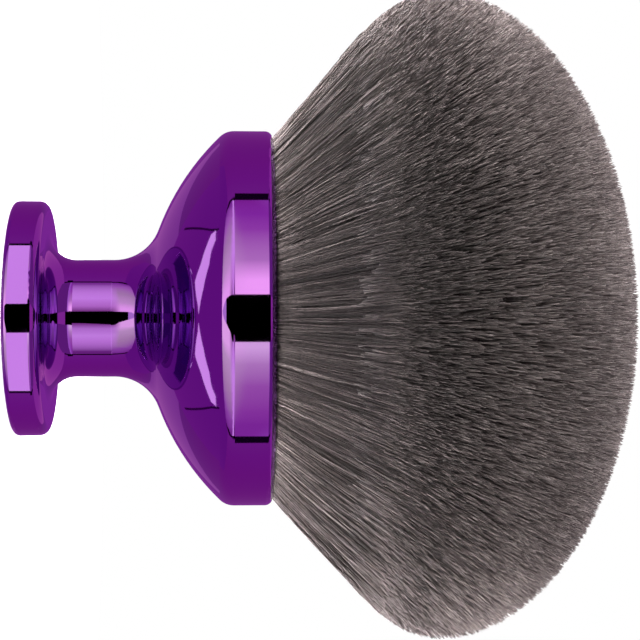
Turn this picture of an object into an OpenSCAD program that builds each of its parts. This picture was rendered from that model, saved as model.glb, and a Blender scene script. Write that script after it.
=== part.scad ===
// Kabuki makeup brush that stands on its foot, bristles up.
// Millimetres, +Z from the foot towards the bristles, origin at the middle of the foot's underside.

/* [Foot] */
// Diameter of the round foot that the brush stands on
foot_d = 31.2; // [29:0.1:34]
// Thickness of the foot
foot_h = 4.5; // [4:0.1:6]
// Edge radius round the underside of the foot
foot_edge_low_r = 0.7; // [0.3:0.1:1]
// Edge radius round the top of the foot
foot_edge_top_r = 1.2; // [0.5:0.1:1.6]
// Radius of the hollow fillet that runs from the foot into the neck
foot_fillet_r = 3.6; // [2:0.1:4.2]
// Width of the ring that the foot rests on, with its rounded edge
foot_rim_w = 2.4; // [1.8:0.1:3]
// Depth of the recess under the foot, which holds the weight and its cover
recess_depth = 2.9; // [2.4:0.1:3.1]

/* [Neck] */
// Diameter of the neck, which two fingers hold
neck_d = 15.6; // [14:0.1:18]
// Height from the top of the foot to where the bell starts to flare
neck_h = 8.6; // [7.5:0.1:12]
// Diameter of the core hole up the middle of the neck
neck_bore_d = 10; // [6:0.1:11]

/* [Bell] */
// Diameter of the collar, the straight band round the mouth
collar_d = 50; // [49:0.1:52]
// Height of the collar
collar_h = 5.1; // [4.6:0.1:7]
// Wall of the collar
collar_wall = 1.5; // [1.3:0.1:1.8]
// Edge radius round the front of the collar
lip_r = 1; // [0.5:0.1:1.2]
// Radius of the hollow curve from the neck out to the bell
bell_hollow_r = 6.3; // [4:0.1:8]
// Radius of the rounded back of the bell
bell_back_r = 33.7; // [32:0.1:36]
// Radius of the bend from the back of the bell into the collar
bell_corner_r = 2.7; // [1.5:0.1:4]
// Wall of the bell
bell_wall = 1.8; // [1.5:0.1:2.2]
// Thickness of each rib inside the bell
rib_t = 1.4; // [1:0.1:2]
// Number of ribs inside the bell
rib_n = 6; // [4:1:8]

/* [Base cover and weight] */
// Thickness of the cover under the foot
cover_t = 1; // [0.8:0.1:1.3]
// How far the cover lies inside the rim it is sheltered by
cover_set_in = 0.3; // [0.2:0.1:0.5]
// Chamfer round the cover's outer edge
cover_chamfer = 0.3; // [0.1:0.1:0.4]
// How far the weight's boss stands up into the neck
weight_boss_h = 5; // [2:0.1:10]

/* [Bristle cup] */
// Sheet thickness of the cup that holds the bristles
cup_t = 0.7; // [0.5:0.1:0.9]
// Depth from the lip down to the underside of the cup's floor
cup_h = 10; // [9.6:0.1:10.4]
// Height of the cup's straight lower part, where the roots are glued
cup_root_h = 3.4; // [2.8:0.1:3.8]
// Depth of the resin under the bristles' root disc
resin_t = 1.2; // [0.6:0.1:1.4]

/* [Bristles] */
// Widest diameter of the head of bristles
head_d = 85.2; // [80:0.1:90]
// Height of the dome above the head's widest level
dome_h = 26.3; // [22:0.1:30]
// Height of the head's widest level above the lip
flare_h = 21.3; // [19:0.1:25]
// Angle at which the outermost bristles lean away from the axis
flare_angle = 49.8; // [47:0.1:51]
// Rings of bristles round the middle one, each with six more than the last
ring_n = 12; // [10:1:12]
// Thickness of the disc that the bristle roots are bound into
root_disc_t = 1.4; // [1:0.1:1.8]
// Share of its own space that a tuft of bristles fills
tuft_fill = 0.72; // [0.5:0.01:0.8]
// Share of a tuft's length that runs to a point
tuft_point = 0.14; // [0.05:0.01:0.3]
// How much shorter every third tuft is
tuft_stagger = 0.9; // [0:0.1:2]

/* [Fits] */
// Gap round a piece that drops into its seat
seat_gap = 0.1; // [0.05:0.01:0.2]
// Gap round resin and fibre that were poured or glued in
glue_gap = 0.05; // [0.02:0.01:0.1]
// Gap between the outermost bristles and what they lean on
bristle_gap = 0.3; // [0.2:0.05:0.5]

/* [Hidden] */
$fn = 120;
// How far a cut runs past the face that it opens
over = 1;

// Radii of the turned handle
foot_r = foot_d / 2;
neck_r = neck_d / 2;
collar_r = collar_d / 2;
neck_bore_r = neck_bore_d / 2;
recess_r = foot_r - foot_rim_w;

// The neck's hollow curve and the bell's round back touch at bell_turn from the axis.
bell_z = foot_h + neck_h;
bell_turn = acos((neck_r + bell_hollow_r) / (bell_back_r + bell_hollow_r));
back_z = bell_z + (bell_back_r + bell_hollow_r) * sin(bell_turn);
turn_r = bell_back_r * cos(bell_turn);
turn_z = back_z - bell_back_r * sin(bell_turn);

// The corner's circle lies inside the back's circle and touches it and the collar.
corner_in_r = collar_r - bell_corner_r;
collar_z = back_z - sqrt(pow(bell_back_r - bell_corner_r, 2) - pow(corner_in_r, 2));
corner_r = bell_back_r * corner_in_r / (bell_back_r - bell_corner_r);
corner_z = back_z - (back_z - collar_z) * bell_back_r / (bell_back_r - bell_corner_r);
lip_z = collar_z + collar_h;
collar_bore_r = collar_r - collar_wall;

// The outermost bristles leave the mouth along this line: radius at a height.
flare = tan(flare_angle);
function fan_r(z) = collar_bore_r - bristle_gap - (lip_z - z) * flare;

// The cup's floor lies on the ribs, and its cone follows the bristles up to the collar's bore.
cup_z = lip_z - cup_h;
cup_bend_z = cup_z + cup_root_h;
cup_root_r = fan_r(cup_bend_z) + bristle_gap;
cup_lean = cup_t / cos(flare_angle);
cup_rim_r = collar_bore_r - seat_gap;
cup_rim_z = lip_z - (seat_gap + cup_lean) / flare;

// Resin on the cup's floor, then the disc of bound roots, then the bristles
resin_z = cup_z + cup_t;
root_z = resin_z + resin_t;
fan_z = root_z + root_disc_t;
root_r = cup_root_r - glue_gap;

// The weight fills what the cover leaves of the recess.
weight_z = cover_set_in + cover_t;
weight_t = recess_depth - weight_z;

// The head is an ellipse turned round the axis, down to where it meets the outermost bristles.
head_r = head_d / 2;
head_z = lip_z + flare_h;
head_lean = atan(dome_h * flare / head_r);
head_turn = head_lean + asin(fan_r(head_z) / norm([head_r, dome_h * flare]));
function head_point(turn) = [head_r * sin(turn), head_z + dome_h * cos(turn)];

// Outline of a disc with its lower and upper edges rounded.
module disc_outline(radius, height, low_r, top_r) {
    square([radius - max(low_r, top_r), height]);
    translate([0, low_r])
        square([radius, height - low_r - top_r]);
    intersection() {
        square([radius, height / 2]);
        union() {
            translate([radius - low_r, low_r]) circle(low_r);
            square([radius - low_r, low_r]);
        }
    }
    translate([0, height / 2]) intersection() {
        square([radius, height / 2]);
        union() {
            translate([radius - top_r, height / 2 - top_r]) circle(top_r);
            square([radius - top_r, height / 2]);
        }
    }
}

// What fills the inside corner between a flat top and an upright wall.
module fillet_outline(wall_r, radius) {
    difference() {
        square([wall_r + radius, radius]);
        translate([wall_r + radius, radius]) circle(radius);
    }
}

// Half outline of the handle: foot, neck, hollow curve, round back, corner and collar.
module handle_outline() {
    disc_outline(foot_r, foot_h, foot_edge_low_r, foot_edge_top_r);
    translate([0, foot_h])
        fillet_outline(neck_r, foot_fillet_r);
    translate([0, foot_h])
        square([neck_r, turn_z - foot_h]);
    translate([0, bell_z]) difference() {
        square([turn_r, turn_z - bell_z]);
        translate([neck_r + bell_hollow_r, 0]) circle(bell_hollow_r);
    }
    intersection() {
        translate([0, turn_z]) square([collar_r, corner_z - turn_z]);
        translate([0, back_z]) circle(bell_back_r);
    }
    translate([0, corner_z])
        square([corner_in_r, lip_z - corner_z]);
    intersection() {
        translate([corner_in_r, corner_z]) square([bell_corner_r, collar_z - corner_z]);
        translate([corner_in_r, collar_z]) circle(bell_corner_r);
    }
    translate([0, collar_z])
        square([collar_r, collar_h - lip_r]);
    translate([0, lip_z - lip_r])
        square([collar_r - lip_r, lip_r]);
    intersection() {
        translate([collar_r - lip_r, lip_z - lip_r]) square(lip_r);
        translate([collar_r - lip_r, lip_z - lip_r]) circle(lip_r);
    }
}

// Space inside the bell, between its round back and the mouth.
module bell_cavity() {
    intersection() {
        translate([0, 0, back_z]) sphere(bell_back_r - bell_wall);
        cylinder(h = lip_z + over, r = collar_bore_r);
    }
}

// The violet spool, moulded in one piece: foot, neck and ribbed bell.
module handle_shell() {
    color("#8a2fb0")
    difference() {
        rotate_extrude() handle_outline();
        difference() {
            bell_cavity();
            for (i = [0 : rib_n - 1])
                rotate(i * 360 / rib_n)
                    translate([0, -rib_t / 2, 0])
                        cube([collar_r, rib_t, cup_z]);
        }
        cylinder(h = cup_z, r = neck_bore_r);
        translate([0, 0, -over])
            cylinder(h = recess_depth + over, r = recess_r);
    }
}

// Cover that closes the recess under the foot, set in from the rim.
module base_cover() {
    cover_r = recess_r - seat_gap;
    color("#5b1c78")
    translate([0, 0, cover_set_in]) {
        cylinder(h = cover_chamfer, r1 = cover_r - cover_chamfer, r2 = cover_r);
        translate([0, 0, cover_chamfer])
            cylinder(h = cover_t - cover_chamfer, r = cover_r);
    }
}

// Steel weight that keeps the brush upright, centred by its boss in the neck.
module foot_weight() {
    color("#8d9196") {
        translate([0, 0, weight_z])
            cylinder(h = weight_t, r = recess_r - 4 * seat_gap);
        translate([0, 0, weight_z])
            cylinder(h = weight_t + weight_boss_h, r = neck_bore_r - seat_gap);
    }
}

// Aluminium cup: floor, straight wall round the roots, and a cone that meets the collar.
module bristle_cup() {
    outer_bend_z = cup_bend_z - (cup_lean - cup_t) / flare;
    color("#b9bcc0")
    rotate_extrude()
        polygon([
            [0, cup_z],
            [cup_root_r + cup_t, cup_z],
            [cup_root_r + cup_t, outer_bend_z],
            [cup_rim_r, cup_rim_z],
            [cup_rim_r - cup_lean, cup_rim_z],
            [cup_root_r, cup_bend_z],
            [cup_root_r, resin_z],
            [0, resin_z]
        ]);
}

// Cured resin that the roots stand in.
module resin_plug() {
    color("#c8a45a")
    translate([0, 0, resin_z])
        cylinder(h = resin_t, r = root_r);
}

// Middle line of a tuft in ring j, from its root to its tip, as [radius, height] pairs
tuft_pitch = root_r / (ring_n + 0.5);
tip_turn = head_turn / (ring_n + 0.5);
function tuft_root(j) = [j * tuft_pitch, fan_z];
function tuft_tip(j) = head_point(j * tip_turn);
function along(a, b, share) = a + (b - a) * share;
function shoulder(j) = along(tuft_root(j), tuft_tip(j), 1 - tuft_point);
function unit(a) = a / norm(a);

// Room at the shoulder between the lines of rings j and j - 1, and between tufts round ring j
function across(a, b) = abs(a[0] * b[1] - a[1] * b[0]);
function room_out(j) = across(unit(tuft_tip(j) - tuft_root(j)), shoulder(j) - shoulder(j - 1));
function room_round(j) = shoulder(j)[0] * 2 * PI / (6 * j);

// One tuft: four sides that widen with the fan, then run to a point.
module tuft(j, shorter) {
    ring = max(j, 1);
    root_w = tuft_fill * tuft_pitch / 2;
    out_w = tuft_fill * room_out(ring) / 2;
    round_w = tuft_fill * room_round(ring) / 2;
    way = unit(tuft_tip(j) - tuft_root(j));
    low = tuft_root(j) - way * root_disc_t / 2 / way[1];
    tip = tuft_tip(j) - shorter * way;
    mid = along(tuft_root(j), tip, 1 - tuft_point);
    corners = [[1, 1], [-1, 1], [-1, -1], [1, -1]];
    points = concat(
        [for (c = corners) [low[0] + c[0] * root_w, c[1] * root_w, low[1]]],
        [for (c = corners)
            [mid[0] + c[0] * out_w * way[1], c[1] * round_w, mid[1] - c[0] * out_w * way[0]]],
        [[tip[0], 0, tip[1]]]
    );
    sides = [for (k = [0 : 3]) let (next = (k + 1) % 4) each
        [[k, k + 4, next], [next, k + 4, next + 4], [k + 4, 8, next + 4]]];
    polyhedron(points, concat([[0, 1, 2], [0, 2, 3]], sides));
}

// Head of bristles: rings of tufts that fan out of one disc of bound roots.
// Each ring is turned a golden share of a step further, so that the rings don't line up.
module bristles() {
    golden_share = 0.382;
    color("#5a5352") {
        translate([0, 0, root_z])
            cylinder(h = root_disc_t, r = root_r);
        tuft(0, 0);
        for (j = [1 : ring_n])
            for (i = [0 : 6 * j - 1])
                rotate((i + j * golden_share % 1) * 360 / (6 * j))
                    tuft(j, i % 3 == 1 ? tuft_stagger : 0);
    }
}

handle_shell();
base_cover();
foot_weight();
bristle_cup();
resin_plug();
bristles();
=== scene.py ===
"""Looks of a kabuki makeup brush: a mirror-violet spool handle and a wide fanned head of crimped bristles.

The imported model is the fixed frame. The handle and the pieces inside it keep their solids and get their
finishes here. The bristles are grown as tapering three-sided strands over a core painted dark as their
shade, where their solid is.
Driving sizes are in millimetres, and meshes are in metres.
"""

import math

import bpy
import numpy as np
from mathutils import Matrix, Vector


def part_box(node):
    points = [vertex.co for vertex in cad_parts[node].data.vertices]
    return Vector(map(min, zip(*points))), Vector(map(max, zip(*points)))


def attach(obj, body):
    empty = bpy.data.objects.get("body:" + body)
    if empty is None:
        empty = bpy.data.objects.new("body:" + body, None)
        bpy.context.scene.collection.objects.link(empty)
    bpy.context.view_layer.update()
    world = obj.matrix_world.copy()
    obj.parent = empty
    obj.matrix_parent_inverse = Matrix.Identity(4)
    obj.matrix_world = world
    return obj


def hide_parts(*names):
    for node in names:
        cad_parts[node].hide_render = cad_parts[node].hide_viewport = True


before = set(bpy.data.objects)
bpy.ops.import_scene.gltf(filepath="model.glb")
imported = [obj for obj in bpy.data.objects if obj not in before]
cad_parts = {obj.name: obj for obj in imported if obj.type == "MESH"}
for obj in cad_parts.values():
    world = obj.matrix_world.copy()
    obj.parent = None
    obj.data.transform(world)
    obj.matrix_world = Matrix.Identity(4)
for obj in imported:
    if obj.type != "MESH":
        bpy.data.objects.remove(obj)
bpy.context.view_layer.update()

# Millimetres in a metre, both ways
MM = 0.001
TURN = 2 * math.pi

# Sizes read from the frame, in millimetres
handle_top = np.array(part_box("handle_shell")[1]) / MM
bristle_top = np.array(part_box("bristles")[1]) / MM
COLLAR_R = handle_top[0]
LIP_Z = handle_top[2]
HEAD_R = bristle_top[0]
HEAD_TOP = bristle_top[2]

# The mouth that the bristles leave through: the collar's wall, and the angle of the outermost bristles
COLLAR_WALL = 1.5
BRISTLE_GAP = 0.3
FLARE_ANGLE = math.radians(49.8)
MOUTH_R = COLLAR_R - COLLAR_WALL - BRISTLE_GAP

# The head's outline: an ellipse round the dome's centre, and the straight flare below it
DOME_H = 26.3
DOME_Z = HEAD_TOP - DOME_H
# Radius of the flare's line level with the lip: loose fibres swell out over the lip's rounded edge
FLARE_R = 24.1
# How sharply the ellipse turns into the flare: higher is sharper
OUTLINE_POWER = 18.5
# Angle from the axis of the outermost tips, seen from the dome's centre
RIM_TURN = math.radians(102)


def linear(hex_colour):
    """Linear RGBA of an sRGB hex colour: each channel is undone by the sRGB curve."""
    value = np.array([int(hex_colour[i:i + 2], 16) / 255 for i in (1, 3, 5)])
    curve = np.where(value <= 0.04045, value / 12.92, ((value + 0.055) / 1.055) ** 2.4)
    return (*curve.tolist(), 1.0)


def add(tree, kind, inputs=None, **settings):
    """Adds one node: settings are its properties, and inputs gives each socket its value or what feeds it."""
    node = tree.nodes.new("ShaderNode" + kind)
    for name, value in settings.items():
        setattr(node, name, value)
    for socket, value in (inputs or {}).items():
        if isinstance(value, bpy.types.NodeSocket):
            tree.links.new(value, node.inputs[socket])
        else:
            node.inputs[socket].default_value = value
    return node


def ramp(tree, factor, stops):
    """Colour ramp over a factor: stops are (position, hex colour) pairs."""
    node = add(tree, "ValToRGB", {"Fac": factor})
    marks = node.color_ramp.elements
    while len(marks) < len(stops):
        marks.new(1.0)
    for mark, (position, colour) in zip(marks, stops):
        mark.position = position
        mark.color = linear(colour)
    return node.outputs["Color"]


def new_finish(name):
    """An empty material with its output node, ready for a shader."""
    finish = bpy.data.materials.new(name)
    finish.use_nodes = True
    finish.node_tree.nodes.clear()
    output = add(finish.node_tree, "OutputMaterial")
    return finish, finish.node_tree, output


# Materials


def metallised_abs():
    """Vacuum-metallised ABS under violet lacquer: moulded, plated with aluminium vapour, then lacquered.

    The eye sees a violet mirror with a thin clear gloss, and the faintest orange peel from the lacquer.
    """
    finish, tree, output = new_finish("metallised_abs_violet")
    place = add(tree, "TexCoord")
    # Orange peel of sprayed lacquer: waves about 3 mm long
    peel = add(tree, "TexNoise", {"Vector": place.outputs["Object"], "Scale": 1 / (3 * MM), "Detail": 1.0})
    bump = add(tree, "Bump", {"Height": peel.outputs["Fac"], "Strength": 0.02, "Distance": 0.05 * MM})
    # Dye pools a little unevenly over areas of about 20 mm
    pool = add(tree, "TexNoise", {"Vector": place.outputs["Object"], "Scale": 1 / (20 * MM), "Detail": 2.0})
    dye = ramp(tree, pool.outputs["Fac"], [(0.3, "#9c5bc3"), (0.7, "#a05fc7")])
    shader = add(tree, "BsdfPrincipled", {
        "Base Color": dye, "Metallic": 1.0, "Roughness": 0.04,
        "Coat Weight": 0.5, "Coat Roughness": 0.02, "Normal": bump.outputs["Normal"],
    })
    tree.links.new(shader.outputs["BSDF"], output.inputs["Surface"])
    return finish


def satin_abs():
    """Metallised ABS with a satin lacquer on the cover under the foot: a duller, softer violet."""
    finish, tree, output = new_finish("satin_metallised_abs")
    place = add(tree, "TexCoord")
    # Fine spark-eroded grain of the mould
    grain_size = 0.15 * MM
    grain = add(tree, "TexNoise", {"Vector": place.outputs["Object"], "Scale": 1 / grain_size, "Detail": 2.0})
    rough = add(tree, "MapRange", {"Value": grain.outputs["Fac"], "To Min": 0.3, "To Max": 0.42})
    bump = add(tree, "Bump", {"Height": grain.outputs["Fac"], "Strength": 0.15, "Distance": 0.02 * MM})
    tint = ramp(tree, grain.outputs["Fac"], [(0.3, "#6b2a8c"), (0.7, "#7a34a0")])
    shader = add(tree, "BsdfPrincipled", {
        "Base Color": tint, "Metallic": 0.8, "Roughness": rough.outputs["Result"],
        "Normal": bump.outputs["Normal"],
    })
    tree.links.new(shader.outputs["BSDF"], output.inputs["Surface"])
    return finish


def turned_steel():
    """Free-cutting steel, turned on a lathe: fine rings round the axis, a tenth of a millimetre apart."""
    finish, tree, output = new_finish("turned_steel")
    place = add(tree, "TexCoord")
    rings = add(tree, "TexWave", {"Vector": place.outputs["Object"], "Scale": 1 / (0.1 * MM) / TURN,
                                  "Distortion": 0.5},
                wave_type="RINGS", rings_direction="Z")
    rough = add(tree, "MapRange", {"Value": rings.outputs["Fac"], "To Min": 0.25, "To Max": 0.4})
    tint = ramp(tree, rings.outputs["Fac"], [(0.0, "#85888c"), (1.0, "#9a9da1")])
    shader = add(tree, "BsdfPrincipled", {
        "Base Color": tint, "Metallic": 1.0, "Roughness": rough.outputs["Result"],
    })
    tree.links.new(shader.outputs["BSDF"], output.inputs["Surface"])
    return finish


def drawn_aluminium():
    """Deep-drawn aluminium sheet: pale metal with faint drawing lines that run up the wall."""
    finish, tree, output = new_finish("drawn_aluminium")
    place = add(tree, "TexCoord")
    # Drawing lines: long along the axis, about 0.2 mm apart round it
    lines = add(tree, "Mapping", {"Vector": place.outputs["Object"], "Scale": (1.0, 1.0, 0.05)})
    noise = add(tree, "TexNoise", {"Vector": lines.outputs["Vector"], "Scale": 1 / (0.2 * MM), "Detail": 2.0})
    rough = add(tree, "MapRange", {"Value": noise.outputs["Fac"], "To Min": 0.28, "To Max": 0.4})
    tint = ramp(tree, noise.outputs["Fac"], [(0.3, "#b4b7bb"), (0.7, "#c6c8cb")])
    shader = add(tree, "BsdfPrincipled", {
        "Base Color": tint, "Metallic": 1.0, "Roughness": rough.outputs["Result"],
    })
    tree.links.new(shader.outputs["BSDF"], output.inputs["Surface"])
    return finish


def cured_epoxy():
    """Cured amber epoxy, poured: smooth and a little cloudy where the fibres wicked it up."""
    finish, tree, output = new_finish("cured_epoxy")
    place = add(tree, "TexCoord")
    # Clouds about 2 mm across
    cloud = add(tree, "TexNoise", {"Vector": place.outputs["Object"], "Scale": 1 / (2 * MM), "Detail": 3.0})
    tint = ramp(tree, cloud.outputs["Fac"], [(0.3, "#b08a3e"), (0.7, "#d2b06a")])
    shader = add(tree, "BsdfPrincipled", {"Base Color": tint, "Roughness": 0.18, "IOR": 1.55})
    tree.links.new(shader.outputs["BSDF"], output.inputs["Surface"])
    return finish


def crimped_fibre():
    """Crimped PBT fibre, drawn and dyed warm grey: a soft satin, broken into short light and dark dashes.

    U on the strand's own map is its shade: its own tone, with painted shade on the rim, on deep tips and
    on the flare. V runs from the mouth to the tip. The short light and dark dashes along V are painted
    highlights and painted shade: the crests of the crimp lit and its hollows dark, a row on each strand.
    """
    finish, tree, output = new_finish("crimped_pbt_fibre")
    strand_map = add(tree, "UVMap", uv_map="OFBake")
    split = add(tree, "SeparateXYZ", {"Vector": strand_map.outputs["UV"]})
    shade = ramp(tree, split.outputs["X"], [
        (0.0, "#322d2e"), (0.25, "#564f4f"), (0.5, "#7c7473"), (0.75, "#a59d9b"), (1.0, "#d6cecb"),
    ])
    # Painted light and shade along the strand: palest where the strands leave the lip,
    # darker where others shade them, and paler again at the tip
    depth = ramp(tree, split.outputs["Y"], [
        (0.0, "#ffffff"), (0.03, "#e4e0e0"), (0.1, "#c8c4c4"), (0.25, "#b4afaf"), (0.5, "#a09b9b"),
        (0.8, "#8c8787"), (0.92, "#9c9797"), (1.0, "#c8c4c4"),
    ])
    # Painted highlights and shade of the crimp: dashes about 1.3 mm long on a strand of 36 mm, in step only
    # on strands of one shade
    rows = 40.0
    dashes_along = 28.0
    row = add(tree, "Mapping", {"Vector": strand_map.outputs["UV"], "Scale": (rows, dashes_along, 1.0)})
    dashes = add(tree, "TexNoise", {"Vector": row.outputs["Vector"], "Scale": 1.0, "Detail": 1.0})
    glint_shade = ramp(tree, dashes.outputs["Fac"], [(0.3, "#5e5a5a"), (0.44, "#cecaca"), (0.7, "#f0ecec")])
    # The strand's shade times the painted light and shade along it, then times the painted crimp dashes
    tone_and_shade = add(tree, "Mix", {6: shade, 7: depth, 0: 1.0}, data_type="RGBA", blend_type="MULTIPLY")
    colour = add(tree, "Mix", {6: tone_and_shade.outputs[2], 7: glint_shade, 0: 1.0}, data_type="RGBA", blend_type="MULTIPLY")
    shader = add(tree, "BsdfPrincipled", {
        "Base Color": colour.outputs[2], "Roughness": 0.55, "Specular IOR Level": 0.3,
        "Sheen Weight": 0.15, "Sheen Roughness": 0.4, "Sheen Tint": linear("#e4dcda"),
    })
    tree.links.new(shader.outputs["BSDF"], output.inputs["Surface"])
    return finish


def core_shade_fibre():
    """The same fibre, packed tight deep in the head, painted almost black brown as the shade between the
    strands.
    """
    finish, tree, output = new_finish("core_painted_shade")
    place = add(tree, "TexCoord")
    # Strand ends seen from above, about 0.3 mm apart
    ends = add(tree, "TexNoise", {"Vector": place.outputs["Object"], "Scale": 1 / (0.3 * MM), "Detail": 2.0})
    # Painted shade: these dark browns stand in for the shade between the packed strands, not the fibre's own
    # colour
    tint = ramp(tree, ends.outputs["Fac"], [(0.35, "#231c1c"), (0.65, "#4a3e3e")])
    bump = add(tree, "Bump", {"Height": ends.outputs["Fac"], "Strength": 0.6, "Distance": 0.1 * MM})
    shader = add(tree, "BsdfPrincipled", {
        "Base Color": tint, "Roughness": 0.8, "Normal": bump.outputs["Normal"],
    })
    tree.links.new(shader.outputs["BSDF"], output.inputs["Surface"])
    return finish


# Meshes


def mesh_object(name, points, corners, starts, finish, corner_map=None):
    """Makes an object from points (n, 3) in millimetres, its faces' corners in one row, and their starts."""
    mesh = bpy.data.meshes.new(name)
    mesh.vertices.add(len(points))
    mesh.vertices.foreach_set("co", (points * MM).ravel())
    mesh.loops.add(corners.size)
    mesh.loops.foreach_set("vertex_index", corners.ravel())
    mesh.polygons.add(len(starts))
    mesh.polygons.foreach_set("loop_start", starts)
    mesh.polygons.foreach_set("use_smooth", np.ones(len(starts), dtype=bool))
    if corner_map is not None:
        layer = mesh.uv_layers.new(name="OFBake")
        layer.uv.foreach_set("vector", corner_map.ravel())
    mesh.update(calc_edges=True)
    mesh.materials.append(finish)
    made = bpy.data.objects.new(name, mesh)
    bpy.context.scene.collection.objects.link(made)
    return made


def grid_object(name, grid, finish):
    """Surface over a grid of points (rows, columns, 3) that closes round its columns.

    The first and the last row are single points on the axis, so they become the surface's two poles.
    """
    rows, columns = grid.shape[:2]
    points = np.concatenate([grid[:1, 0], grid[1:-1].reshape(-1, 3), grid[-1:, 0]])
    here = np.arange(columns)
    after = (here + 1) % columns
    band = 1 + np.arange(rows - 3)[:, None] * columns
    quads = np.stack([band + here, band + after, band + columns + after, band + columns + here], axis=-1)
    last = len(points) - 1
    top = 1 + (rows - 3) * columns
    first_cap = np.stack([np.zeros(columns, int), 1 + after, 1 + here], axis=-1)
    last_cap = np.stack([np.full(columns, last), top + here, top + after], axis=-1)
    corners = np.concatenate([quads.ravel(), first_cap.ravel(), last_cap.ravel()])
    sizes = np.concatenate([np.full(quads.size // 4, 4), np.full(2 * columns, 3)])
    starts = np.concatenate([[0], np.cumsum(sizes)[:-1]])
    return mesh_object(name, points, corners, starts, finish)


# Bristles

# Sizes of a strand as drawn, in millimetres: one drawn strand stands for several real fibres.
STRAND_W = 0.19
CRIMP_LENGTH = 3.4
CRIMP_HEIGHT = 0.15
# How far the foremost tips stand past the head's surface
TIP_PROUD = 0.4
# Strands grow in locks, which share their crimp, their lean and much of their shade.
DOME_LOCKS = 13600
FLARE_LOCKS = 3000
PER_LOCK = 5
# The head is cut by azimuth into this many meshes for each layer of strands.
SECTORS = 10


def head_surface(turn):
    """Radius and height of the head's surface at an angle from the axis, seen from the dome's centre.

    The distance is the soft minimum of the ellipse's and of the flare line's: their powers' sum, rooted back.
    """
    lean = math.tan(FLARE_ANGLE)
    ellipse = 1 / np.hypot(np.sin(turn) / HEAD_R, np.cos(turn) / DOME_H)
    slope = np.maximum(np.sin(turn) - lean * np.cos(turn), 0.05)
    line = (FLARE_R + (DOME_Z - LIP_Z) * lean) / slope
    reach = (ellipse ** -OUTLINE_POWER + line ** -OUTLINE_POWER) ** (-1 / OUTLINE_POWER)
    return reach * np.sin(turn), DOME_Z + reach * np.cos(turn)


def even_shares(count, low, high, rng):
    """Shares of the fan from low to high whose tips cover the head evenly.

    The share is the inverse of the area that the tips' turned outline has swept, taken at even steps.
    """
    share = np.linspace(low, high, 400)
    r, z = head_surface(share * RIM_TURN)
    ring = (r[1:] + r[:-1]) / 2 * np.hypot(np.diff(r), np.diff(z))
    swept = np.concatenate([[0], np.cumsum(ring)])
    steps = (np.arange(count) + rng.random(count)) / count
    return np.interp(steps * swept[-1], swept, share)


def smooth_step(value, start, end):
    """Rises from 0 at start to 1 at end with level ends."""
    t = np.clip((value - start) / (end - start), 0, 1)
    return t * t * (3 - 2 * t)


def mottle(share, azimuth, rng):
    """Broad light and dark patches over the head: a sum of a few sine waves in share and azimuth."""
    total = np.zeros_like(share)
    for waves in (3, 5, 8, 13, 21):
        phase = rng.random(3) * TURN
        total += np.sin(waves * azimuth + phase[0] + 2 * np.sin(4 * share + phase[1]))
        total += np.sin(waves * 3 * share + phase[2])
    return total / 5


def splay(azimuth):
    """How far the rim leans out at an azimuth, in millimetres: low waves, and one side that stands out."""
    waves = 0.2 * np.sin(3 * azimuth + 0.6) + 0.15 * np.sin(5 * azimuth + 2.0)
    tuft = 0.9 * np.maximum(0, -np.cos(azimuth)) ** 6
    return waves + tuft - 0.25 * np.cos(azimuth)


def fan_paths(share, azimuth, reach, stations):
    """Middle lines of strands in the fan, with their distance along each, as (strands, stations) arrays.

    A strand starts in the mouth, at its share of the mouth's radius, and runs straight to its tip on the
    head's surface. The outermost swell out over the lip just above it and lean out where the head splays.
    Stations are shares of the way, and reach is how far past the surface the tip goes, in millimetres.
    """
    tip_r, tip_z = head_surface(share * RIM_TURN)
    mouth_r = share * MOUTH_R
    length = np.hypot(tip_r - mouth_r, tip_z - LIP_Z)
    stretch = 1 + reach / length
    way = stations * stretch[:, None]
    swell = FLARE_R - MOUTH_R
    outer = smooth_step(share, 0.86, 1.0)[:, None]
    z = LIP_Z + (tip_z - LIP_Z)[:, None] * way
    line_r = mouth_r[:, None] + (tip_r - mouth_r)[:, None] * way
    # The swell is full just above the lip and gone at the tip, which already lies on the swollen surface.
    bulge = swell * outer * smooth_step(z, LIP_Z - 0.3, LIP_Z + 0.15) * (1 - np.clip(way, 0, 1))
    lean_out = splay(azimuth)[:, None] * smooth_step(way, 0.2, 0.9) * smooth_step(share, 0.2, 1.0)[:, None]
    return line_r + bulge + lean_out, z, length[:, None] * way


def place_strands(share, azimuth, reach, stations, crimp, phase, lean):
    """Points of the strands' middle lines (strands, stations, 3), with crimp and lean added across the fan.

    Crimp is a sine along the strand, across it both ways. Lean bows the strand: it is its slope at the root,
    and the other way at the tip.
    """
    r, z, run = fan_paths(share, azimuth, reach, stations)
    wave = run / CRIMP_LENGTH * TURN
    # The mouth holds the strands straight, so the crimp grows over their first few millimetres.
    free = smooth_step(run, 0.0, 6.0)
    bow = np.clip(run, 0, None) * np.clip(1 - stations, 0, 1)
    side = free * crimp[:, None] * np.sin(wave + phase[:, :1]) + lean[:, :1] * bow
    # A slower wave across the other way keeps a strand from lying in one plane.
    slower = 0.8
    rise = free * crimp[:, None] * np.sin(wave * slower + phase[:, 1:]) + lean[:, 1:] * bow
    out = np.stack([np.cos(azimuth), np.sin(azimuth)], axis=-1)[:, None]
    round_ = np.stack([-np.sin(azimuth), np.cos(azimuth)], axis=-1)[:, None]
    flat = (r + rise)[..., None] * out + side[..., None] * round_
    return np.concatenate([flat, z[..., None]], axis=-1)


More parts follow.
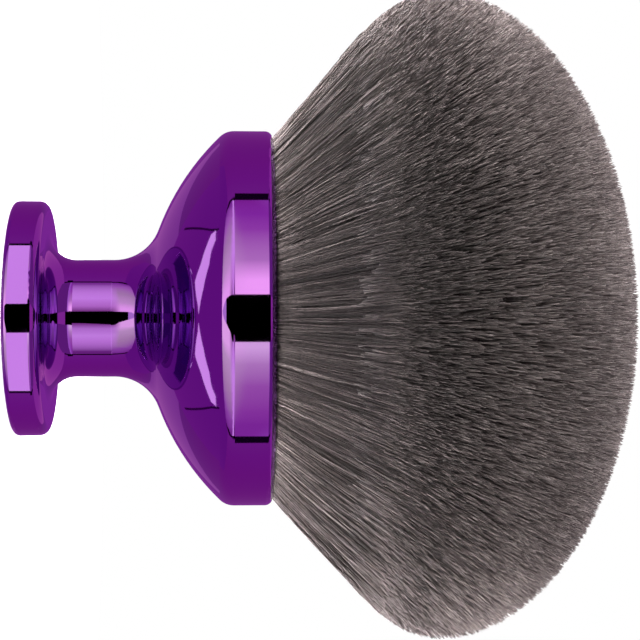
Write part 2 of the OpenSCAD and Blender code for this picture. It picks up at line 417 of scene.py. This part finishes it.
def strand_mesh(name, middle, stations, half_width, shade, finish, rng):
    """Three-sided prisms along the middle lines, with a flat end at the root and a short point at the tip.

    At each station but the last, three points stand round the line at thirds of a turn, half_width from it.
    Each side's map has the strand's shade as U, a hair wide, and the share of the way from the mouth as V.
    """
    count = len(middle)
    rings = middle.shape[1] - 1
    way = np.gradient(middle, axis=1)
    way /= np.linalg.norm(way, axis=-1, keepdims=True)
    seed_side = rng.normal(size=(count, 1, 3))
    across = np.cross(way, seed_side)
    across /= np.linalg.norm(across, axis=-1, keepdims=True)
    beside = np.cross(way, across)
    angle = np.arange(3) / 3 * TURN
    spoke = across[:, :, None] * np.cos(angle)[:, None] + beside[:, :, None] * np.sin(angle)[:, None]
    ring_points = middle[:, :rings, None] + spoke[:, :rings] * half_width[:, :rings, None, None]
    points = np.concatenate([ring_points.reshape(count, -1, 3), middle[:, -1:]], axis=1)

    # Corners of one strand: the sides ring by ring, the sides of the point, and the root's end
    ring = np.arange(rings - 1)[:, None] * 3
    this = np.arange(3)
    after = (this + 1) % 3
    sides = np.stack([ring + this, ring + after, ring + 3 + after, ring + 3 + this], axis=-1).reshape(-1, 4)
    low = (rings - 1) * 3
    point = np.stack([low + this, low + after, np.full(3, rings * 3)], axis=-1)
    root = np.array([[2, 1, 0]])
    one = np.concatenate([sides.ravel(), point.ravel(), root.ravel()])
    sizes = np.concatenate([np.full(len(sides), 4), np.full(4, 3)])
    corners = (one[None] + np.arange(count)[:, None] * (rings * 3 + 1)).ravel()
    starts = np.concatenate([[0], np.cumsum(np.tile(sizes, count))[:-1]])

    # The map: V is the ring's share of the way, and U is the shade at one edge and a hair more at the other.
    v_of = np.concatenate([np.repeat(stations[:, :rings], 3, axis=1), stations[:, -1:]], axis=1)
    u_edge = np.concatenate([np.tile([0, 1, 1, 0], len(sides)), np.tile([0, 1, 0.5], 3), [0, 1, 0.5]])
    hair = 0.004
    u = shade[:, None] * (1 - hair) + u_edge[None] * hair
    v = np.clip(v_of[:, one], 0, 0.99)
    v[:, -3:] += np.array([0, 0, 0.01])
    return mesh_object(name, points.reshape(-1, 3), corners, starts, finish, np.stack([u, v], axis=-1))


def lock_strands(locks, low, high, rng):
    """Strands in locks: each strand's share and azimuth, spread a little round its lock's, and its lock.

    Locks follow the golden angle round the axis, so they neither line up nor leave gaps.
    """
    golden = math.pi * (3 - math.sqrt(5))
    lock = np.repeat(np.arange(locks), PER_LOCK)
    spread = 0.006
    share = even_shares(locks, low, high, rng)[lock] + rng.normal(size=lock.size) * spread
    share = np.abs(np.where(share > high, 2 * high - share, share))
    scatter = rng.normal(size=lock.size) * spread / np.maximum(share, 0.03)
    return share, (lock * golden + scatter) % TURN, lock


def lock_motion(locks, lock, crimp, lean, rng):
    """Each strand's crimp height, phase and lean: those of its lock, and a little of its own."""
    count = lock.size
    height = CRIMP_HEIGHT * crimp * (0.6 + 0.8 * rng.random(locks))[lock]
    phase = (rng.random((locks, 2)) * TURN)[lock] + 0.4 * rng.normal(size=(count, 2))
    drift = lean * (rng.normal(size=(locks, 2))[lock] + 0.4 * rng.normal(size=(count, 2)))
    return height, phase, drift


def taper(stations, tip_start):
    """Share of the full width at each station: 1 up to tip_start of the way, then down to a blunt tip."""
    t = np.clip((stations - tip_start) / (1 - tip_start), 0, 1)
    return 1 - 0.6 * t


def dome_strands(rng):
    """The strands that end on the dome: only their last few millimetres, which are what shows."""
    share, azimuth, lock = lock_strands(DOME_LOCKS, 0.0, 1.0, rng)
    count = lock.size
    # Most tips stand close to the surface, and the rest end deeper, which leaves short dark gaps.
    deep_share = 0.4
    deep = rng.random(count) < deep_share
    depth = rng.exponential(np.where(deep, 1.1, 0.15)) + 0.08 * np.abs(rng.normal(size=DOME_LOCKS))[lock]
    deepest = 3.0
    reach = TIP_PROUD + 0.03 * rng.normal(size=count) - np.minimum(depth, deepest)
    tip_r, tip_z = head_surface(share * RIM_TURN)
    length = np.hypot(tip_r - share * MOUTH_R, tip_z - LIP_Z)
    shown = 4.5 + 2.5 * rng.random(count)
    start = 1 - shown / length
    steps = np.array([0.0, 0.5, 0.97, 1.0])
    stations = start[:, None] + (1 - start[:, None]) * steps
    # Painted shade: the rim's tips are darker than the crown's, and tips that end deeper are darker still.
    shade = 0.73 - 0.26 * smooth_step(share, 0.75, 1.0) - 0.05 * np.minimum(depth, 3.5)
    shade += 0.075 * rng.normal(size=DOME_LOCKS)[lock] + 0.055 * rng.normal(size=count)
    shade += 0.07 * mottle(share, azimuth, rng)
    crimp, phase, lean = lock_motion(DOME_LOCKS, lock, 1.0, 0.04, rng)
    middle = place_strands(share, azimuth, reach, stations, crimp, phase, lean)
    half_width = STRAND_W / 2 * (0.75 + 0.5 * rng.random(count))[:, None] * taper(steps, 0.6)[None]
    return middle, stations, half_width, np.clip(shade, 0.02, 0.98), azimuth


def flare_strands(rng):
    """The outermost strands, whole from the mouth to the tip, because the flare shows their sides."""
    share, azimuth, lock = lock_strands(FLARE_LOCKS, 0.9, 1.0, rng)
    count = lock.size
    depth = rng.exponential(1.2, count) + 0.3 * np.abs(rng.normal(size=FLARE_LOCKS))[lock]
    deepest = 9.0
    reach = TIP_PROUD - np.minimum(depth, deepest)
    steps = np.array([-0.05, 0.0, 0.015, 0.1, 0.25, 0.42, 0.6, 0.8, 0.97, 1.0])
    stations = np.tile(steps, (count, 1))
    # Painted shade: the flare's strands are darker on the whole than the dome's.
    shade = 0.43 + 0.11 * rng.normal(size=FLARE_LOCKS)[lock] + 0.08 * rng.normal(size=count)
    shade += 0.07 * mottle(share, azimuth, rng)
    crimp, phase, lean = lock_motion(FLARE_LOCKS, lock, 1.2, 0.03, rng)
    middle = place_strands(share, azimuth, reach, stations, crimp, phase, lean)
    half_width = STRAND_W / 2 * (0.5 + 0.4 * rng.random(count))[:, None] * taper(steps, 0.8)[None]
    return middle, stations, half_width, np.clip(shade, 0.02, 0.98), azimuth


def bristle_core(finish):
    """Body of packed fibre under the strands, painted dark as the shade deep in the head: the head's outline
    drawn in, down to the cup's mouth.

    The dome is the head's surface scaled towards the lip's centre, and a cone joins it to the core's foot.
    """
    drawn_in = 0.93
    r, z = head_surface(np.linspace(0, RIM_TURN * drawn_in, 40))
    dome_r = r * drawn_in
    dome_z = LIP_Z + (z - LIP_Z) * drawn_in
    foot_r = MOUTH_R - 1.2
    foot_z = LIP_Z - 0.8
    cone_steps = np.linspace(1, 0, 8)[1:]
    side_r = foot_r + (dome_r[-1] - foot_r) * cone_steps
    side_z = foot_z + (dome_z[-1] - foot_z) * cone_steps
    outline_r = np.concatenate([dome_r, side_r, [0.0]])
    outline_z = np.concatenate([dome_z, side_z, [side_z[-1]]])
    columns = 96
    azimuth = np.arange(columns) / columns * TURN
    grid = np.stack([
        outline_r[:, None] * np.cos(azimuth),
        outline_r[:, None] * np.sin(azimuth),
        np.repeat(outline_z[:, None], columns, axis=1),
    ], axis=-1)
    return grid_object("bristle_core", grid, finish)


def grow_bristles():
    """Grows the whole head, split by azimuth into sectors of less than 200,000 triangles each."""
    rng = np.random.default_rng(7)
    fibre = crimped_fibre()
    layers = [dome_strands(rng), flare_strands(rng)]
    grown = []
    for sector in range(SECTORS):
        for layer, (middle, stations, half_width, shade, azimuth) in zip(("dome", "flare"), layers):
            chosen = (azimuth * SECTORS / TURN).astype(int) == sector
            grown.append(strand_mesh(f"bristles_{layer}_{sector + 1}", middle[chosen], stations[chosen],
                                     half_width[chosen], shade[chosen], fibre, rng))
    grown.append(bristle_core(core_shade_fibre()))
    for made in grown:
        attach(made, "root")
        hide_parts("bristles")
    return grown


grow_bristles()

# Finishes of the solid pieces


def dress(node, finish):
    """Gives a CAD node's object one finish in place of those it came with."""
    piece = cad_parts[node]
    for place in piece.material_slots:
        place.material = finish


dress("handle_shell", metallised_abs())
dress("base_cover", satin_abs())
dress("foot_weight", turned_steel())
dress("bristle_cup", drawn_aluminium())
dress("resin_plug", cured_epoxy())

# Studio

# The camera looks square at the axis from this far, level with this height, and is turned a little up it.
CAMERA_DISTANCE = 222.0
CAMERA_Z = 27.5
CAMERA_X = 0.23
CAMERA_RISE = math.radians(3.38)
CAMERA_LENS = 92.8

# Places of the studio's cards, in millimetres: light sheets stand in front of the brush, violet cards lie
# below, behind and above it, and a violet wall goes all round.
FRONT_Y = -450
BEHIND_Y = 1130
LOW_Z = -1180
HIGH_Z = 900
WALL_R = 2200
# The light sheets run from the dark gap for the camera to the far side, and up to this height.
GAP_X = 108
FAR_X = 1570
SHEETS_TOP = 130
SHEET_STRENGTH = 2.4
# Angles below level at which the brush sees the seams between the sheets, in degrees
UPPER_SEAM = 1.5
NECK_SEAM = 5.6
FOOT_SEAM = 8.4
# Distance along X over which a sheet's stops run
STOPS_LENGTH = 1500
# The left sheets stay bright further out than the right ones.
UPPER_STOPS = {
    "left": [(0.12, "#fdffd8"), (0.2, "#b6afa3"), (0.4, "#95608f"), (0.6, "#864387"), (1.0, "#7e377b")],
    "right": [(0.09, "#daffc0"), (0.15, "#b5bca2"), (0.25, "#9c7c91"), (0.45, "#8c5687"), (0.65, "#814381")],
}
LOWER_STOPS = {
    "left": [(0.1, "#f0f6cf"), (0.2, "#c6dcac"), (0.36, "#abc094"), (0.6, "#a28698"), (1.0, "#753a78")],
    "right": [(0.09, "#e9ffc8"), (0.15, "#c0e2a5"), (0.3, "#acc393"), (0.6, "#8f6b8b"), (1.0, "#753b75")],
}
# The neck's sheets are brightest a little way out from the gap.
NECK_STOPS = {
    "left": [(0.07, "#745069"), (0.13, "#b9a8ab"), (0.24, "#d0cec5"), (0.36, "#c8c3bd"), (0.85, "#7d4d7b")],
    "right": [(0.06, "#7f5876"), (0.11, "#b9b0b0"), (0.2, "#cdcfc2"), (0.3, "#c3bab8"), (0.75, "#6a3868")],
}
HAZE_STOPS = [(0.0, "#a080a6"), (1.0, "#a080a6")]
# Heights that a sheet's colours change between, at the haze and at the seams: first the edge's, then its own
HAZE_EDGE = (120, 60)
UPPER_EDGE = (28, 38)
LOWER_EDGE = (-66, -220)
# Where the neck's sheets start, nearer to the middle than the others, and the height of their corner there
NECK_GAP_X = {"left": 104, "right": 76}
NECK_CORNER_Z = -28
# The dark gap's lower end is a lopsided point: its tip, and its edge on each side from the tip upwards, as
# distances out and heights
GAP_TIP = (0, -700)
GAP_END = {
    "left": [(40, -940), (60, -940), (92, -640), (108, -420)],
    "right": [(33, -370), (62, -171), (92, -100)],
}
# Outline of the light strip low behind the brush, as distances out and back: a wing with a pointed outer end
WING = [
    (24, 222), (85, 240), (158, 290), (232, 336), (352, 313), (480, 322), (574, 332), (612, 312), (582, 285),
    (539, 242), (448, 211), (365, 180), (241, 184), (200, 184), (86, 208),
]
STRIP_Z = LOW_Z + 5


def reflect_only(made):
    """Studio card that shows only in reflections: it neither lights the brush nor hides it."""
    made.visible_camera = False
    made.visible_diffuse = False
    made.visible_transmission = False
    made.visible_shadow = False


def flat_card(name, corners, finish):
    """Flat studio card through its corners, given in order round its edge, in millimetres."""
    points = np.array(corners, dtype=float)
    made = mesh_object(name, points, np.arange(len(points)), np.array([0]), finish)
    reflect_only(made)


def round_wall(name, radius, half_height, finish):
    """Upright wall all round the axis: a strip of upright quads."""
    sides = 72
    here = np.arange(sides)
    after = (here + 1) % sides
    turn = here / sides * TURN
    ring = np.stack([radius * np.cos(turn), radius * np.sin(turn), np.zeros(sides)], axis=-1)
    lift = np.array([0, 0, half_height])
    corners = np.stack([here, after, after + sides, here + sides], axis=-1)
    reflect_only(mesh_object(name, np.concatenate([ring - lift, ring + lift]), corners, here * 4, finish))


def disc(name, radius, height, finish):
    """Round studio sheet at a height."""
    sides = 64
    turn = np.arange(sides) / sides * TURN
    points = np.stack([radius * np.cos(turn), radius * np.sin(turn), np.full(sides, height)], axis=-1)
    made = mesh_object(name, points, np.arange(sides), np.array([0]), finish)
    return made


def glow(name, colour, strength=1.0):
    """Studio card that gives off one even colour."""
    finish, tree, output = new_finish(name)
    light = add(tree, "Emission", {"Color": linear(colour), "Strength": strength})
    tree.links.new(light.outputs["Emission"], output.inputs["Surface"])
    return finish


def graded_glow(name, stops, edges=()):
    """Light sheet whose colour runs through stops as the distance from the brush's middle along X grows.

    An edge is stops of its own and a pair of heights: the sheet has them at the first height, and its other
    colours at the second.
    """
    finish, tree, output = new_finish(name)
    place = add(tree, "TexCoord")
    split = add(tree, "SeparateXYZ", {"Vector": place.outputs["Object"]})
    away = add(tree, "Math", {0: split.outputs["X"]}, operation="ABSOLUTE")
    share = add(tree, "MapRange", {"Value": away.outputs[0], "From Max": STOPS_LENGTH * MM})
    colour = ramp(tree, share.outputs["Result"], stops)
    for edge_stops, (first, second) in edges:
        own = add(tree, "MapRange", {
            "Value": split.outputs["Z"], "From Min": first * MM, "From Max": second * MM,
        })
        edge = ramp(tree, share.outputs["Result"], edge_stops)
        mixed = add(tree, "Mix", {0: own.outputs["Result"], 6: edge, 7: colour}, data_type="RGBA")
        colour = mixed.outputs[2]
    light = add(tree, "Emission", {"Color": colour, "Strength": SHEET_STRENGTH})
    tree.links.new(light.outputs["Emission"], output.inputs["Surface"])
    return finish


def wall_glow(name, stops):
    """Studio wall whose colour runs through stops from the camera's side, 0, round to behind, 1."""
    finish, tree, output = new_finish(name)
    place = add(tree, "TexCoord")
    split = add(tree, "SeparateXYZ", {"Vector": place.outputs["Object"]})
    side = add(tree, "Math", {0: split.outputs["X"]}, operation="ABSOLUTE")
    front = add(tree, "Math", {0: split.outputs["Y"], 1: -1.0}, operation="MULTIPLY")
    angle = add(tree, "Math", {0: side.outputs[0], 1: front.outputs[0]}, operation="ARCTAN2")
    share = add(tree, "Math", {0: angle.outputs[0], 1: math.pi}, operation="DIVIDE")
    colour = ramp(tree, share.outputs[0], stops)
    light = add(tree, "Emission", {"Color": colour, "Strength": 1.0})
    tree.links.new(light.outputs["Emission"], output.inputs["Surface"])
    return finish


def seam(angle, start=GAP_X):
    """Line across the sheets that the brush sees at one angle below level, from the start to the far side.

    It falls with the distance from the axis, so it curves a little, and four points draw it.
    """
    slope = math.tan(math.radians(angle))
    return [(x, -slope * math.hypot(FRONT_Y, x)) for x in (start, 500, 900, FAR_X)]


def front_card(name, way, outline, finish):
    """Card in the sheets' plane from points (out, up): way is -1 on the left and 1 on the right."""
    flat_card(name, [(way * x, FRONT_Y, z) for x, z in outline], finish)


def light_sheets(name, way, even):
    """One side's four light sheets, one above the other: upper, neck, foot, which is even, and lower.

    The foot, the neck and the collar each see the sheet that lies at their own angle below level.
    """
    # Hazy towards its top edge, and with the lower sheet's colours along its bottom
    upper = graded_glow(f"upper_sheet_{name}", UPPER_STOPS[name], [
        (HAZE_STOPS, HAZE_EDGE), (LOWER_STOPS[name], UPPER_EDGE),
    ])
    top_far_x = FAR_X + 120
    front_card(f"upper_sheet_{name}", way, [
        (GAP_X, SHEETS_TOP), (top_far_x, SHEETS_TOP), *reversed(seam(UPPER_SEAM)),
    ], upper)
    neck = graded_glow(f"neck_sheet_{name}", NECK_STOPS[name])
    neck_start = NECK_GAP_X[name]
    front_card(f"neck_sheet_{name}", way, [
        *seam(UPPER_SEAM), *reversed(seam(NECK_SEAM, neck_start)), (neck_start, NECK_CORNER_Z),
    ], neck)
    front_card(f"foot_sheet_{name}", way, [*seam(NECK_SEAM), *reversed(seam(FOOT_SEAM))], even)
    # It goes on from the neck's colours at its top.
    lower = graded_glow(f"lower_sheet_{name}", LOWER_STOPS[name], [(NECK_STOPS[name], LOWER_EDGE)])
    front_card(f"lower_sheet_{name}", way, [
        *seam(FOOT_SEAM), (FAR_X, LOW_Z), (0, LOW_Z), GAP_TIP, *GAP_END[name],
    ], lower)


def side_cards(name, way, even):
    """One side's cards round its light sheets: a dark edge, a violet card above, and strips low behind."""
    near_x, near_y = way * FAR_X, FRONT_Y
    far_x, far_y = way * 2050, -387
    low_z, high_z = -40, 400
    flat_card(f"dark_edge_{name}", [
        (near_x, near_y, low_z), (far_x, far_y, low_z), (far_x, far_y, high_z), (near_x, near_y, high_z),
    ], glow(f"dark_edge_{name}", "#1a021e"))
    front_card(f"front_high_card_{name}", way, [
        (GAP_X, SHEETS_TOP), (GAP_X, HIGH_Z), (FAR_X, HIGH_Z), (FAR_X, SHEETS_TOP),
    ], glow(f"front_high_card_{name}", "#8d4a94"))
    flat_card(f"low_strip_{name}", [(way * x, y, STRIP_Z) for x, y in WING], even)
    # A thin dark line runs back from the wing's outer end.
    line_w = 18
    near_x, near_y = way * 620 + 12, 290
    far_x, far_y = way * 570 + 12, 1000
    flat_card(f"dark_strip_{name}", [
        (near_x, near_y, STRIP_Z), (near_x - line_w, near_y, STRIP_Z),
        (far_x - line_w, far_y, STRIP_Z), (far_x, far_y, STRIP_Z),
    ], glow(f"dark_strip_{name}", "#34043c"))


def build_studio():
    """What the mirror finish sees: light sheets in front with a dark gap for the camera, and violet cards."""
    even = glow("foot_sheet", "#d5d3c9", SHEET_STRENGTH)
    for name, way in (("left", -1), ("right", 1)):
        light_sheets(name, way, even)
        side_cards(name, way, even)
    flat_card("low_card", [
        (-WALL_R, FRONT_Y, LOW_Z), (WALL_R, FRONT_Y, LOW_Z),
        (WALL_R, BEHIND_Y, LOW_Z), (-WALL_R, BEHIND_Y, LOW_Z),
    ], glow("low_card", "#90309a"))
    # Paler card behind the brush and below it
    back_x = 520
    back_top = -300
    flat_card("back_card", [
        (-back_x, BEHIND_Y, LOW_Z), (back_x, BEHIND_Y, LOW_Z),
        (back_x, BEHIND_Y, back_top), (-back_x, BEHIND_Y, back_top),
    ], glow("back_card", "#a75bac"))
    flat_card("high_card", [
        (-WALL_R, -WALL_R, HIGH_Z), (WALL_R, -WALL_R, HIGH_Z),
        (WALL_R, WALL_R, HIGH_Z), (-WALL_R, WALL_R, HIGH_Z),
    ], glow("high_card", "#c062b6"))
    round_wall("violet_wall", WALL_R, WALL_R, wall_glow("violet_wall", [
        (0.0, "#000000"), (0.423, "#000000"), (0.429, "#a348a3"), (0.5, "#a03aa0"), (0.6, "#9c349a"),
        (0.75, "#923394"), (0.86, "#863a90"), (1.0, "#82299b"),
    ]))


def build_floor():
    """Pale floor that keeps the brush's soft shadow near it and fades to the plain background further out."""
    finish, tree, output = new_finish("white_sweep")
    place = add(tree, "TexCoord")
    away = add(tree, "VectorMath", {0: place.outputs["Object"]}, operation="LENGTH")
    shadow_r = 40 * MM
    plain_r = 160 * MM
    fade = add(tree, "MapRange", {"Value": away.outputs["Value"], "From Min": shadow_r, "From Max": plain_r})
    paper = add(tree, "BsdfDiffuse", {"Color": linear("#f4f4f4")})
    plain = add(tree, "Emission", {"Color": linear("#ffffff"), "Strength": 1.0})
    mixed = add(tree, "MixShader", {0: fade.outputs["Result"], 1: paper.outputs["BSDF"],
                                    2: plain.outputs["Emission"]})
    tree.links.new(mixed.outputs["Shader"], output.inputs["Surface"])
    floor = disc("floor", radius=3000, height=0, finish=finish)
    floor.visible_glossy = False


def build_world():
    """White background for the camera and for mirrors and glass, and an even soft light on the rest."""
    world = bpy.data.worlds.new("studio_air")
    bpy.context.scene.world = world
    world.use_nodes = True
    tree = world.node_tree
    tree.nodes.clear()
    ray = add(tree, "LightPath")
    seen = add(tree, "Math", {0: ray.outputs["Is Camera Ray"], 1: ray.outputs["Is Glossy Ray"]},
               operation="MAXIMUM")
    shown = add(tree, "Math", {0: seen.outputs[0], 1: ray.outputs["Is Transmission Ray"]},
                operation="MAXIMUM")
    ambient = 0.6
    strength = add(tree, "MapRange", {"Value": shown.outputs[0], "To Min": ambient, "To Max": 1.0})
    sky = add(tree, "Background", {"Color": (1, 1, 1, 1), "Strength": strength.outputs["Result"]})
    output = add(tree, "OutputWorld")
    tree.links.new(sky.outputs["Background"], output.inputs["Surface"])


def lamp(name, azimuth, elevation, distance, size, power):
    """Soft square lamp aimed at the middle of the brush, unseen in reflections, where the cards show.

    Azimuth is 0 at the camera and grows towards +X, in degrees. Distance and size are in millimetres, and
    power is in watts.
    """
    data = bpy.data.lights.new(name, "AREA")
    data.shape = "SQUARE"
    data.size = size * MM
    data.energy = power
    made = bpy.data.objects.new(name, data)
    a = math.radians(azimuth)
    e = math.radians(elevation)
    way = Vector((math.sin(a) * math.cos(e), -math.cos(a) * math.cos(e), math.sin(e)))
    middle = Vector((0, 0, 45 * MM))
    made.location = middle + way * distance * MM
    made.rotation_euler = way.to_track_quat("Z", "Y").to_euler()
    made.visible_glossy = False
    made.visible_camera = False
    bpy.context.scene.collection.objects.link(made)


def build_camera():
    """Camera on the photograph's side: the brush lies along the picture, its foot to the left."""
    data = bpy.data.cameras.new("camera")
    data.lens = CAMERA_LENS
    data.sensor_width = 36
    data.clip_start = 0.01
    made = bpy.data.objects.new("camera", data)
    forward = Vector((0, math.cos(CAMERA_RISE), math.sin(CAMERA_RISE)))
    right = Vector((0, -math.sin(CAMERA_RISE), math.cos(CAMERA_RISE)))
    up = Vector((-1, 0, 0))
    turned = Matrix((right, up, -forward)).transposed().to_4x4()
    spot = Vector((CAMERA_X, -CAMERA_DISTANCE, CAMERA_Z)) * MM
    made.matrix_world = Matrix.Translation(spot) @ turned
    bpy.context.scene.collection.objects.link(made)
    bpy.context.scene.camera = made


build_world()
build_floor()
build_studio()
# Large lamps far off, and a small one close under the head's flare on each side
lamp("lamp_left", azimuth=-100, elevation=20, distance=600, size=400, power=14)
lamp("lamp_right", azimuth=100, elevation=5, distance=600, size=400, power=4)
lamp("lamp_top", azimuth=0, elevation=75, distance=600, size=400, power=10)
lamp("lamp_low_left", azimuth=-90, elevation=-26, distance=96, size=40, power=0.65)
lamp("lamp_low_right", azimuth=90, elevation=-26, distance=96, size=40, power=0.8)
lamp("lamp_back", azimuth=180, elevation=30, distance=600, size=400, power=4)
build_camera()
bpy.context.scene.view_settings.view_transform = "Standard"
